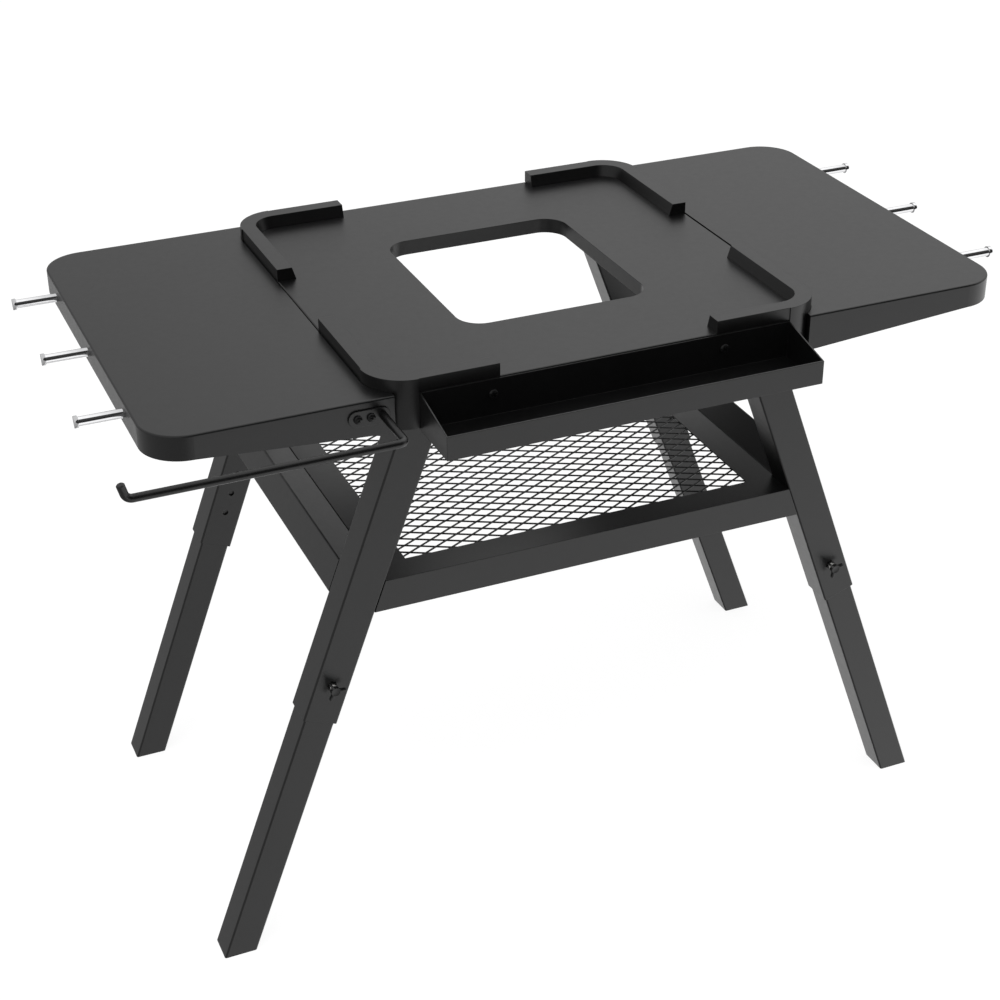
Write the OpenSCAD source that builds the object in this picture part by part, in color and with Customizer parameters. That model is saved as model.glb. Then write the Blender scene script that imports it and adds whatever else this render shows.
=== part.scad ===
// Grill stand: a steel deck with a cut-out, two side shelves, a front tray,
// four splayed telescopic legs and a mesh shelf between them.
// The modules draw in a frame with x and y at zero in the middle of the deck and z at zero on
// the floor, with the front at negative y; in_place() then centres the whole object.

/* [Deck] */
// Width of the deck, left to right
deck_w = 513; // [480:1:560]
// Depth of the deck, front to back
deck_d = 500; // [480:1:540]
// Height of the deck's top face above the floor, legs at their shortest
deck_z = 682; // [650:1:760]
// Height of the deck's turned-down apron
apron_h = 41; // [36:1:50]
// Outer radius of the deck's corners
deck_corner_r = 45; // [35:1:50]
// Thickness of the deck's steel sheet
sheet_t = 2; // [1.5:0.1:2.5]
// Outer radius of the bend along the edges of the sheet
bend_r = 2; // [1:0.1:3]
// Width of the cut-out in the deck
cut_w = 222; // [180:1:236]
// Depth of the cut-out in the deck
cut_d = 252.7; // [200:0.1:280]
// Radius of the cut-out's corners
cut_corner_r = 28; // [20:1:34]
// Height of the lip that is turned down around the cut-out
cut_lip_h = 17.35; // [12:0.05:24]

/* [Corner guards] */
// Height of the guards above the deck
guard_h = 14; // [10:0.5:20]
// Width of a guard along its top
guard_top_w = 17.5; // [14:0.5:20]
// Width of a guard at the deck
guard_base_w = 21.9; // [20.5:0.1:26]
// Length of a guard's arm along the front or rear edge, from the deck's side
guard_front_arm = 132.5; // [90:0.5:160]
// Length of a guard's arm along the side edge, from the deck's front or rear edge
guard_side_arm = 178.5; // [90:0.5:200]
// Thickness of the guards' sheet
guard_t = 1.5; // [1:0.1:2]
// Thickness of the skirt that wraps the deck's corner
skirt_t = 0.8; // [0.6:0.1:1.2]
// Gap between the skirt and the deck's corner
skirt_gap = 0.1; // [0.05:0.05:0.2]

/* [Side shelves] */
// Width of a side shelf, from the deck outwards
wing_w = 229; // [180:1:260]
// Radius of a side shelf's outer corners
wing_corner_r = 45; // [30:1:60]
// Height of the flange along a side shelf's outer edge
wing_edge_h = 26.8; // [19:0.1:30]
// Gap between a side shelf and the skirts at the deck's corners
wing_gap = 0.3; // [0.2:0.1:0.5]
// How far the side shelf's front and rear flanges reach in round the deck's corner
wing_reach = 19; // [10:1:25]
// Spacing of the bolts between a side shelf and the deck
wing_bolt_pitch = 150; // [100:5:180]
// Depth of those bolts below the deck's top face
wing_bolt_drop = 20.5; // [16:0.5:24]

/* [Hanging pegs] */
// Diameter of a peg
peg_d = 10; // [8:0.5:12]
// Length of a peg outside the shelf, with its head
peg_len = 50.5; // [35:0.5:70]
// Diameter of a peg's head
peg_head_d = 13; // [12.5:0.5:16]
// Length of a peg's head
peg_head_len = 4.5; // [3:0.5:7]
// Chamfer at the end of a peg's head
peg_chamfer = 0.8; // [0.4:0.1:1.2]
// How far a peg's screw reaches into the peg
peg_bite = 12; // [8:1:16]
// Spacing of the pegs
peg_pitch = 155; // [100:5:180]
// Depth of the pegs' centre line below the shelf's top face
peg_drop = 11.5; // [10.5:0.1:12]

/* [Towel rail] */
// Diameter of the towel rod
rod_d = 8.5; // [7:0.5:10]
// Distance of the rod's long arm from the shelf's front flange
rod_reach = 66; // [55:1:68]
// Length of the rod's long arm, from the side arm to the upturned end
rod_len = 273.5; // [200:0.5:275]
// Radius of the rod's bends, to its centre line
rod_bend_r = 8; // [7:0.5:12]
// Length of the upturned end beyond the corner
rod_kick = 17; // [15:0.5:40]
// Angle of the upturned end above the long arm
rod_kick_angle = 75; // [60:1:90]
// Length of the bracket plate
plate_len = 44; // [40:1:60]
// Height of the bracket plate
plate_h = 17.5; // [15:0.5:20]
// Thickness of the bracket plate
plate_t = 2; // [1.5:0.5:3]
// Distance of the rod's side arm inwards from the deck's side
rod_inset = 5.8; // [0:0.1:8]
// Chamfer at the rod's free end
rod_chamfer = 1; // [0.5:0.1:1.5]
// Distance from the side arm to the bracket plate's round end
plate_end = 7.75; // [6:0.05:9]
// Depth of the bracket plate's centre line below the shelf's top face
plate_drop = 17.3; // [14:0.1:20]
// Distance from the side arm to the nearer bracket screw
plate_screw_x = 12.8; // [12:0.1:16]
// Spacing of the two bracket screws
plate_screw_pitch = 13.9; // [11.5:0.1:20]

/* [Front tray] */
// Width of the front tray
tray_w = 423; // [380:1:423]
// Depth of the front tray, front to back
tray_d = 72.5; // [70:0.5:90]
// Thickness of the tray's sheet
tray_t = 1.5; // [1:0.1:2]
// Distance of the tray's floor below the deck's top face
tray_drop = 43.2; // [40:0.1:55]
// Height of the tray's front wall
tray_front_h = 26; // [20:0.1:32]
// Gap between the tray's back edge and the deck's top face
tray_top_gap = 1.5; // [1.3:0.1:3]
// Half the spacing of the tray's two screws
tray_screw_x = 132.5; // [80:0.5:180]
// Depth of the tray's screws below the deck's top face
tray_screw_drop = 18; // [14:0.5:26]

/* [Legs] */
// Side of the upper leg tubes and the side rails
tube = 40; // [38:0.5:44]
// Wall of the upper leg tubes and the side rails
tube_wall = 2; // [1.5:0.1:2.5]
// Outer corner radius of the tubes
tube_r = 2; // [1.6:0.1:3]
// Wall of the lower leg tubes
inner_wall = 1.8; // [1.5:0.1:2.2]
// Gap on each side between an upper and a lower leg tube
slide_gap = 0.3; // [0.2:0.05:0.5]
// Splay of the legs from the vertical
leg_tilt = 20.54; // [16:0.01:22]
// Distance from the deck's side in to a leg's centre line at its top
leg_top_inset = 73.8; // [66:0.1:90]
// Distance from the deck's front edge to the front legs' front faces
leg_front_inset = 27.8; // [24:0.1:40]
// Distance from the deck's rear edge to the rear legs' rear faces
leg_rear_inset = 22.6; // [20:0.1:40]
// Length of lower leg that shows below the upper leg, along the leg
shin_show = 313; // [250:1:330]
// Length of lower leg inside the upper leg at the shortest setting
shin_hidden = 150; // [135:1:200]
// Distance from an upper leg's lower end to its lowest setting hole
hole_start = 46; // [38:0.5:60]
// Spacing of the height settings
hole_pitch = 27; // [20:0.5:35]
// Number of height settings
hole_count = 3; // [2:1:3]
// Diameter of the setting holes
hole_d = 6.7; // [6:0.1:8]
// Distance from an upper leg's lower end to its thumb screw
clamp_start = 46; // [40:0.5:60]

/* [Snap buttons and plugs] */
// Clearance round a snap button in its holes
button_gap = 0.1; // [0.05:0.05:0.2]
// Travel of a snap button
button_travel = 5; // [3:0.5:6]
// Diameter of a snap button's collar
button_collar_d = 10; // [9.5:0.5:12]
// Thickness of a snap button's collar
button_collar_t = 1.5; // [1:0.1:2]
// Thickness of the leaf spring
spring_t = 0.8; // [0.5:0.1:1]
// Width of the leaf spring
spring_w = 10; // [8:1:16]
// Length of the leaf spring's straight legs
spring_len = 60; // [40:1:80]
// Depth of the plug in a leg's foot, along the leg
plug_h = 24; // [16:1:40]
// Gap round the plug
plug_gap = 0.1; // [0.05:0.05:0.2]
// Radius of the plug's corners
plug_r = 1; // [0.8:0.1:1.5]

/* [Lower shelf] */
// Height of the lower shelf's top face above the floor
shelf_z = 453; // [420:1:500]
// Thickness of the shelf frame's sheet
shelf_t = 1.5; // [1.2:0.1:2]
// Height of the shelf frame's turned-down flanges
shelf_flange_h = 36; // [30:1:38]
// Width of the shelf frame's flat border
shelf_border = 35.3; // [30:0.1:50]
// Gap between the shelf frame and the legs and rails
shelf_gap = 0.1; // [0.05:0.05:0.3]
// Spacing of the screws along each side of the shelf frame
shelf_screw_pitch = 130; // [80:5:150]
// How far those screws reach past the rail's wall
shelf_screw_tip = 4; // [2:0.5:6]
// Length of a mesh opening, with one strand
mesh_pitch_x = 44; // [44:1:60]
// Width of a mesh opening, with one strand
mesh_pitch_y = 23; // [23:1:32]
// Width of a mesh strand
mesh_strand = 3; // [2:0.5:4]
// Thickness of the mesh
mesh_t = 2; // [1:0.5:3]
// Width of the mesh's solid rim, which is welded under the frame
mesh_rim = 10; // [6:1:16]

/* [Deck studs and leg plates] */
// Thickness of the plate on top of each leg
leg_plate_t = 3; // [2:0.5:4]
// Length of that plate, left to right
leg_plate_w = 108; // [102:1:112]
// Spacing of the two studs at each leg
stud_pitch = 80; // [76:1:86]
// Length of a stud below the deck
stud_len = 15; // [13:0.5:20]

/* [Fasteners] */
// Shank diameter of the bolts, studs and screws
bolt_d = 6; // [5:0.5:6]
// Width of a nut across its flats
nut_af = 10; // [9:0.5:11]
// Thickness of a nut
nut_h = 5; // [4:0.5:6]
// Diameter of a pan head
pan_d = 10.8; // [10:0.1:12]
// Height of a pan head
pan_h = 3.2; // [2.5:0.1:4]
// Shank diameter of the small screws on the towel rail and the shelf frame
screw_d = 5; // [4:0.5:5]
// Width of the small screws' nuts across their flats
small_nut_af = 8; // [7.5:0.5:9]
// Diameter of the small screws' heads
small_pan_d = 9; // [8:0.5:10]
// Clearance of a hole round a shank, on the radius
hole_gap = 0.3; // [0.2:0.05:0.5]
// Clearance of a thread or a seat, on the radius
seat_gap = 0.02; // [0.01:0.01:0.05]

/* [Thumb screws] */
// Thickness of the clinch nut's flange outside the leg
clinch_h = 1.2; // [1:0.1:2]
// Length of bare shank between the clinch nut and the knob
shank_show = 3; // [1:0.5:6]
// Distance from the knob's middle to its lobes' ends
knob_r = 12; // [11:0.5:14]
// Thickness of the knob
knob_h = 8; // [6:0.5:10]
// Thickness of the knob in front of the screw's end
knob_cap_t = 2; // [1.5:0.5:3]
// Radius of the rounded end of each lobe
lobe_r = 2.5; // [2:0.5:3.5]
// Radius of the knob's hub
hub_r = 5.5; // [5:0.5:6.5]
// How far a lobe is set back from the knob's front and rear
lobe_step = 1; // [0.5:0.5:1.5]
// Turn of the front left knob's first lobe
knob_turn_front_left = 18; // [0:1:119]
// Turn of the front right knob's first lobe
knob_turn_front_right = 115; // [0:1:119]
// Turn of the rear left knob's first lobe
knob_turn_rear_left = 44; // [0:1:119]
// Turn of the rear right knob's first lobe
knob_turn_rear_right = 80; // [0:1:119]
// Gap between the screw's tip and the lower leg
tip_gap = 0.15; // [0.1:0.05:0.25]
// Play of the screw in the clinch nut, on the radius
thread_play = 0.05; // [0.05:0.01:0.1]

/* [Hidden] */
$fn = 64;

// Side and end numbers: left is -1 and right is 1, front is -1 and rear is 1
LEFT = -1;
RIGHT = 1;
FRONT = -1;
REAR = 1;

BLACK = [0.14, 0.14, 0.145];
DARK = [0.08, 0.08, 0.085];
STEEL = [0.7, 0.7, 0.72];
CHROME = [0.85, 0.86, 0.88];

// Spare length by which a cut runs past the face that it opens
over = 1;
// Least corner radius of a bore
least_r = 0.2;
// Space left at the bottom of a threaded hole
thread_spare = 2;
// Length that is longer than any piece, for cuts that take off all of one side
far = 1000;

// Shares of a pan head: its cross's width, length and floor, and its crown's height and radius
cross_w = 0.14;
cross_l = 0.5;
cross_floor = 0.4;
crown_h = 0.35;
crown_r = 0.34;

// Places that more than one piece uses
deck_x = deck_w / 2;
deck_y = deck_d / 2;
under_deck_z = deck_z - sheet_t;
apron_z = deck_z - apron_h;
wing_skin = skirt_gap + skirt_t + wing_gap;
wing_x = deck_x + wing_skin + wing_w;
wing_bolt_z = deck_z - wing_bolt_drop;
peg_z = deck_z - peg_drop;
plate_z = deck_z - plate_drop;
rod_x = -deck_x + rod_inset;
plate_holes = [rod_x - plate_screw_x, rod_x - plate_screw_x - plate_screw_pitch];
tray_z = deck_z - tray_drop;
tray_screw_z = deck_z - tray_screw_drop;
tray_back_y = -deck_y;

// Legs: distances are taken along the leg from the floor
leg_y_front = -deck_y + leg_front_inset + tube / 2;
leg_y_rear = deck_y - leg_rear_inset - tube / 2;
leg_top_z = under_deck_z - leg_plate_t;
leg_top = leg_top_z / cos(leg_tilt);
foot_x = deck_x - leg_top_inset + leg_top_z * tan(leg_tilt);
inner_tube = tube - 2 * tube_wall - 2 * slide_gap;
sleeve_start = shin_show;
shin_end = shin_show + shin_hidden;
clamp_s = sleeve_start + clamp_start;
button_s = sleeve_start + hole_start + (hole_count - 1) * hole_pitch;
half_tube_x = tube / 2 / cos(leg_tilt);
shin_face = inner_tube / 2;
shin_bore = inner_tube - 2 * inner_wall;

// Side rails: the shelf's edge lies on the rails' upper inner edge
rail_s = (shelf_z + tube / 2 * sin(leg_tilt)) / cos(leg_tilt) - tube / 2;
rail_len = leg_y_rear - leg_y_front - tube;
rail_mid = rail_len / 2;
shelf_front_y = leg_y_front - tube / 2;
shelf_rear_y = leg_y_rear + tube / 2;
open_x = inner_x(shelf_z) - shelf_gap - shelf_border;
open_front_y = shelf_front_y + shelf_border;
open_rear_y = shelf_rear_y - shelf_border;

// The whole object's middle, front to back, goes to y = 0
y_shift = (tray_d - skirt_gap - skirt_t) / 2;

// Distance from the middle to a leg's centre line, and to its inner face, at a height
function leg_x(z) = foot_x - z * tan(leg_tilt);
function inner_x(z) = leg_x(z) - half_tube_x;
function leg_y(end) = end == FRONT ? leg_y_front : leg_y_rear;

module in_place() {
  translate([0, y_shift, 0]) children();
}

// Moves a shape onto a leg: its z runs up the leg from the floor
module on_leg(side, end) {
  translate([side * foot_x, leg_y(end), 0]) rotate([0, -side * leg_tilt, 0]) children();
}

// Moves a shape to a leg's outer face, or to its inner face where out is false.
// s is the distance up the leg, and the shape's z points away from the leg.
module on_leg_face(side, end, s, face, out = true) {
  way = out ? end : -end;
  on_leg(side, end) translate([0, way * face, s]) rotate([-way * 90, 0, 0]) children();
}

// Draws a shape made for the right side on either side
module on_side(side) {
  mirror([side == LEFT ? 1 : 0, 0, 0]) children();
}

module rounded_rect(w, d, r) {
  square([w - 2 * r, d], center = true);
  square([w, d - 2 * r], center = true);
  for (x = [-1, 1], y = [-1, 1])
    translate([x * (w / 2 - r), y * (d / 2 - r)]) circle(r = r);
}

module square_tube(side, wall, r) {
  difference() {
    rounded_rect(side, side, r);
    rounded_rect(side - 2 * wall, side - 2 * wall, max(r - wall, least_r));
  }
}

// Half of an edge's section: full height inside, with its outer top corner rounded
module edge_section(r, h, bend) {
  square([r, h - bend]);
  square([r - bend, h]);
  translate([r - bend, h - bend]) intersection() {
    circle(r = bend);
    square(bend);
  }
}

// A block with rounded corners and a rounded top edge, from z = 0 up
module soft_block(w, d, r, h, bend) {
  side_x = w / 2 - r;
  side_y = d / 2 - r;
  for (turn = [0, 90, 180, 270]) {
    x = turn == 0 || turn == 270 ? side_x : -side_x;
    y = turn < 180 ? side_y : -side_y;
    translate([x, y, 0]) rotate([0, 0, turn]) rotate_extrude(angle = 90) edge_section(r, h, bend);
  }
  for (turn = [0, 180]) rotate([0, 0, turn]) {
    translate([side_x, side_y, 0]) rotate([90, 0, 0])
      linear_extrude(2 * side_y) edge_section(r, h, bend);
    translate([-side_x, side_y, 0]) rotate([90, 0, 90])
      linear_extrude(2 * side_x) edge_section(r, h, bend);
  }
  translate([-side_x, -side_y, 0]) cube([2 * side_x, 2 * side_y, h]);
}

// A cylinder along x, y or z that starts at the origin
module along_x(r, len) { rotate([0, 90, 0]) cylinder(r = r, h = len); }
module along_y(r, len) { rotate([-90, 0, 0]) cylinder(r = r, h = len); }

// A pan head screw: its head's seat is at z = 0, its shank runs down, its head stands up
module pan_screw(d, len, head_d, head_h) {
  recess_w = head_d * cross_w;
  recess_l = head_d * cross_l;
  crown = head_h * crown_h;
  difference() {
    union() {
      translate([0, 0, -len]) cylinder(r = d / 2, h = len + over);
      cylinder(r = head_d / 2, h = head_h - crown);
      translate([0, 0, head_h - crown]) cylinder(r1 = head_d / 2, r2 = head_d * crown_r, h = crown);
    }
    translate([0, 0, head_h * cross_floor]) linear_extrude(head_h) {
      square([recess_w, recess_l], center = true);
      square([recess_l, recess_w], center = true);
    }
  }
}

// A hexagon nut from z = 0 up, for a shank of diameter d
module hex_nut(af, h, d) {
  difference() {
    cylinder(r = af / 2 / cos(30), h = h, $fn = 6);
    translate([0, 0, -over]) cylinder(r = d / 2 + seat_gap, h = h + 2 * over);
  }
}

module deck() {
  in_place() color(BLACK) difference() {
    translate([0, 0, apron_z]) soft_block(deck_w, deck_d, deck_corner_r, apron_h, bend_r);
    deck_hollow();
    translate([0, 0, apron_z]) linear_extrude(apron_h + over) rounded_rect(cut_w, cut_d, cut_corner_r);
    for (side = [LEFT, RIGHT], row = [-1, 0, 1])
      on_side(side) translate([deck_x - sheet_t - over, row * wing_bolt_pitch, wing_bolt_z])
        along_x(bolt_d / 2 + hole_gap, sheet_t + 2 * over);
    for (side = [LEFT, RIGHT])
      translate([side * tray_screw_x, tray_back_y - over, tray_screw_z])
        along_y(bolt_d / 2 + hole_gap, sheet_t + 2 * over);
  }
}

// The space inside the apron, with the lip round the cut-out left standing
module deck_hollow() {
  lip_z = deck_z - cut_lip_h;
  inner_w = deck_w - 2 * sheet_t;
  inner_d = deck_d - 2 * sheet_t;
  translate([0, 0, apron_z - over]) linear_extrude(lip_z - apron_z + over)
    rounded_rect(inner_w, inner_d, deck_corner_r - sheet_t);
  translate([0, 0, lip_z]) linear_extrude(under_deck_z - lip_z) difference() {
    rounded_rect(inner_w, inner_d, deck_corner_r - sheet_t);
    rounded_rect(cut_w + 2 * sheet_t, cut_d + 2 * sheet_t, cut_corner_r + sheet_t);
  }
}

// A guard for the corner at positive x and y, with z = 0 on the deck's top face
module guard_shape() {
  arc_x = deck_x - deck_corner_r;
  arc_y = deck_y - deck_corner_r;
  base_in = deck_corner_r - guard_base_w;
  top_in = deck_corner_r - guard_top_w;
  skirt_in = deck_corner_r + skirt_gap;
  skirt_out = skirt_in + skirt_t;
  front_len = guard_front_arm - deck_corner_r;
  side_len = guard_side_arm - deck_corner_r;
  section = [[base_in, 0], [deck_corner_r, 0], [deck_corner_r, guard_h], [top_in, guard_h]];
  hollow = [
    [base_in + 2 * guard_t, -over], [deck_corner_r - guard_t, -over],
    [deck_corner_r - guard_t, guard_h - guard_t], [top_in + guard_t, guard_h - guard_t]
  ];
  corner = [
    [base_in, 0], [skirt_in, 0], [skirt_in, -apron_h], [skirt_out, -apron_h],
    [skirt_out, guard_h], [top_in, guard_h]
  ];
  translate([arc_x, arc_y, 0]) {
    difference() {
      rotate_extrude(angle = 90) polygon(corner);
      rotate_extrude(angle = 90) polygon(hollow);
    }
    mirror([1, 0, 0]) rotate([90, 0, 90]) guard_arm(front_len, section, hollow);
    rotate([90, 0, 0]) guard_arm(side_len, section, hollow);
  }
}

// A straight arm from z = 0 up, closed at its far end
module guard_arm(len, section, hollow) {
  difference() {
    linear_extrude(len) polygon(section);
    translate([0, 0, -over]) linear_extrude(len - guard_t + over) polygon(hollow);
  }
}

module guard(side, end) {
  in_place() color(BLACK) translate([0, 0, deck_z])
    on_side(side) mirror([0, end == FRONT ? 1 : 0, 0]) guard_shape();
}

module front_tray() {
  back_h = tray_drop - tray_top_gap;
  in_place() color(BLACK) translate([-tray_w / 2, tray_back_y, tray_z]) difference() {
    rotate([90, 0, 90]) linear_extrude(tray_w)
      polygon([[-tray_d, 0], [0, 0], [0, back_h], [-tray_t, back_h], [-tray_d, tray_front_h]]);
    translate([tray_t, -tray_d + tray_t, tray_t])
      cube([tray_w - 2 * tray_t, tray_d - 2 * tray_t, back_h]);
    for (side = [LEFT, RIGHT])
      translate([tray_w / 2 + side * tray_screw_x, -tray_t - over, tray_screw_z - tray_z])
        along_y(bolt_d / 2 + hole_gap, tray_t + 2 * over);
  }
}

module tray_screws() {
  in_place() color(BLACK) for (side = [LEFT, RIGHT])
    translate([side * tray_screw_x, tray_back_y - tray_t, tray_screw_z])
      rotate([90, 0, 0]) pan_screw(bolt_d, tray_t + sheet_t + nut_h + over, pan_d, pan_h);
}

module tray_nuts() {
  in_place() color(STEEL) for (side = [LEFT, RIGHT])
    translate([side * tray_screw_x, tray_back_y + sheet_t, tray_screw_z])
      rotate([-90, 0, 0]) hex_nut(nut_af, nut_h, bolt_d);
}

// The outline that a side shelf keeps clear of, grown outwards by a distance
module deck_outline(grow) {
  rounded_rect(deck_w + 2 * grow, deck_d + 2 * grow, deck_corner_r + grow);
}

module side_shelf(side) {
  inner_end = deck_x - wing_reach;
  outer_end = wing_x - wing_corner_r;
  edge_z = apron_h - wing_edge_h;
  in_place() color(BLACK) on_side(side) translate([0, 0, apron_z])
    difference() {
      intersection() {
        soft_block(2 * wing_x, deck_d, wing_corner_r, apron_h, bend_r);
        rotate([90, 0, 0]) translate([0, 0, -far / 2]) linear_extrude(far)
          polygon([
            [inner_end, 0], [outer_end, edge_z], [wing_x + over, edge_z],
            [wing_x + over, apron_h + over], [inner_end, apron_h + over]
          ]);
      }
      translate([0, 0, -over]) linear_extrude(apron_h - sheet_t + over) difference() {
        rounded_rect(2 * (wing_x - sheet_t), deck_d - 2 * sheet_t, wing_corner_r - sheet_t);
        deck_outline(wing_skin + sheet_t);
        translate([-far, -far / 2]) square([far + inner_end + sheet_t, far]);
      }
      translate([0, 0, -over]) linear_extrude(apron_h + 2 * over) deck_outline(wing_skin);
      for (row = [-1, 0, 1]) {
        translate([deck_x, row * wing_bolt_pitch, wing_bolt_z - apron_z])
          along_x(bolt_d / 2 + hole_gap, 3 * sheet_t + wing_skin);
        translate([wing_x - 3 * sheet_t, row * peg_pitch, peg_z - apron_z])
          along_x(screw_d / 2 + hole_gap, 4 * sheet_t);
      }
      if (side == LEFT)
        for (hole = plate_holes)
          translate([-hole, -deck_y - over, plate_z - apron_z])
            along_y(screw_d / 2 + hole_gap, sheet_t + 2 * over);
    }
}

module shelf_bolts() {
  in_place() color(STEEL) for (side = [LEFT, RIGHT], row = [-1, 0, 1])
    on_side(side)
      translate([deck_x + wing_skin + sheet_t, row * wing_bolt_pitch, wing_bolt_z])
        rotate([0, 90, 0]) pan_screw(bolt_d, 2 * sheet_t + wing_skin + nut_h + over, pan_d, pan_h);
}

module shelf_nuts() {
  in_place() color(STEEL) for (side = [LEFT, RIGHT], row = [-1, 0, 1])
    on_side(side)
      translate([deck_x - sheet_t, row * wing_bolt_pitch, wing_bolt_z])
        rotate([0, -90, 0]) hex_nut(nut_af, nut_h, bolt_d);
}

// A peg stands on the side shelf's outer flange and is held by a screw from inside
module peg() {
  difference() {
    union() {
      cylinder(r = peg_d / 2, h = peg_len - peg_head_len / 2);
      translate([0, 0, peg_len - peg_head_len])
        cylinder(r = peg_head_d / 2, h = peg_head_len - peg_chamfer);
      translate([0, 0, peg_len - peg_chamfer])
        cylinder(r1 = peg_head_d / 2, r2 = peg_head_d / 2 - peg_chamfer, h = peg_chamfer);
    }
    translate([0, 0, -over])
      cylinder(r = screw_d / 2 + seat_gap, h = over + peg_bite + thread_spare);
  }
}

module pegs(side) {
  in_place() color(CHROME) for (row = [-1, 0, 1])
    translate([side * wing_x, row * peg_pitch, peg_z]) rotate([0, side * 90, 0]) peg();
}

module peg_screws() {
  in_place() color(STEEL) for (side = [LEFT, RIGHT], row = [-1, 0, 1])
    translate([side * (wing_x - sheet_t), row * peg_pitch, peg_z])
      rotate([0, -side * 90, 0]) pan_screw(screw_d, sheet_t + peg_bite, small_pan_d, pan_h);
}

module towel_plate() {
  end_x = rod_x + plate_end;
  in_place() color(BLACK) translate([0, -deck_y, plate_z]) difference() {
    rotate([90, 0, 0]) linear_extrude(plate_t) translate([end_x - plate_len / 2, 0]) {
      square([plate_len - plate_h, plate_h], center = true);
      for (x = [-1, 1]) translate([x * (plate_len - plate_h) / 2, 0]) circle(r = plate_h / 2);
    }
    for (hole = plate_holes)
      translate([hole, -plate_t - over, 0]) along_y(screw_d / 2 + hole_gap, plate_t + 2 * over);
  }
}

module towel_rod() {
  r = rod_d / 2;
  arm = rod_reach - plate_t - rod_bend_r;
  kick_tangent = rod_bend_r * tan(rod_kick_angle / 2);
  kick_len = rod_kick - kick_tangent - rod_chamfer;
  in_place() color(BLACK) translate([rod_x, -deck_y - plate_t, plate_z]) {
    // Side arm, running forward
    translate([0, -arm, 0]) along_y(r, arm);
    // Corner from the side arm to the long arm
    translate([-rod_bend_r, -arm, 0]) rotate([0, 0, -90]) rotate_extrude(angle = 90)
      translate([rod_bend_r, 0]) circle(r = r);
    // Long arm, running left
    translate([-rod_len + kick_tangent, -arm - rod_bend_r, 0])
      along_x(r, rod_len - kick_tangent - rod_bend_r);
    // Corner up to the end, and the end with its chamfer
    translate([-rod_len + kick_tangent, -arm - rod_bend_r, rod_bend_r]) rotate([90, 0, 0]) {
      rotate([0, 0, -90 - rod_kick_angle]) rotate_extrude(angle = rod_kick_angle)
        translate([rod_bend_r, 0]) circle(r = r);
      rotate([0, 0, -90 - rod_kick_angle]) translate([rod_bend_r, 0, 0]) rotate([90, 0, 0]) {
        cylinder(r = r, h = kick_len);
        translate([0, 0, kick_len]) cylinder(r1 = r, r2 = r - rod_chamfer, h = rod_chamfer);
      }
    }
  }
}

module towel_screws() {
  in_place() color(BLACK) for (hole = plate_holes)
    translate([hole, -deck_y - plate_t, plate_z])
      rotate([90, 0, 0]) pan_screw(screw_d, plate_t + sheet_t + nut_h + over, small_pan_d, pan_h);
}

module towel_nuts() {
  in_place() color(STEEL) for (hole = plate_holes)
    translate([hole, -deck_y + sheet_t, plate_z])
      rotate([-90, 0, 0]) hex_nut(small_nut_af, nut_h, screw_d);
}

module upper_leg(side, end) {
  in_place() color(BLACK) difference() {
    on_leg(side, end) translate([0, 0, sleeve_start])
      linear_extrude(leg_top - sleeve_start + tube) square_tube(tube, tube_wall, tube_r);
    translate([-far, -far, leg_top_z]) cube([2 * far, 2 * far, far]);
    for (i = [0 : hole_count - 1])
      on_leg_face(side, end, sleeve_start + hole_start + i * hole_pitch, tube / 2, out = false)
        translate([0, 0, -tube_wall - over]) cylinder(r = hole_d / 2, h = tube_wall + 2 * over);
    on_leg_face(side, end, clamp_s, tube / 2)
      translate([0, 0, -tube_wall - over]) cylinder(r = bolt_d / 2 + hole_gap, h = tube_wall + 2 * over);
  }
}

module leg_plate(side, end) {
  top_x = side * leg_x(leg_top_z);
  in_place() color(BLACK) difference() {
    translate([top_x - leg_plate_w / 2, leg_y(end) - tube / 2, leg_top_z])
      cube([leg_plate_w, tube, leg_plate_t]);
    for (x = [-1, 1])
      translate([top_x + x * stud_pitch / 2, leg_y(end), leg_top_z - over])
        cylinder(r = bolt_d / 2 + hole_gap, h = leg_plate_t + 2 * over);
  }
}

// Repeats a shape at the eight studs under the deck
module at_studs() {
  for (side = [LEFT, RIGHT], end = [FRONT, REAR], x = [-1, 1])
    translate([side * leg_x(leg_top_z) + x * stud_pitch / 2, leg_y(end), 0]) children();
}

module deck_studs() {
  in_place() color(STEEL) at_studs()
    translate([0, 0, under_deck_z - stud_len]) cylinder(r = bolt_d / 2, h = stud_len);
}

module deck_nuts() {
  in_place() color(STEEL) at_studs()
    translate([0, 0, leg_top_z - nut_h]) hex_nut(nut_af, nut_h, bolt_d);
}

module side_rail(side) {
  in_place() color(BLACK)
    translate([side * foot_x, leg_y_front + tube / 2, 0]) rotate([0, -side * leg_tilt, 0])
      translate([0, 0, rail_s]) rotate([-90, 0, 0])
        difference() {
          linear_extrude(rail_len) square_tube(tube, tube_wall, tube_r);
          for (row = [-1, 0, 1])
            translate([-side * (tube / 2 + over), 0, rail_mid + row * shelf_screw_pitch])
              rotate([0, side * 90, 0])
                cylinder(r = screw_d / 2 + seat_gap, h = tube_wall + 2 * over);
        }
}

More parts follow.
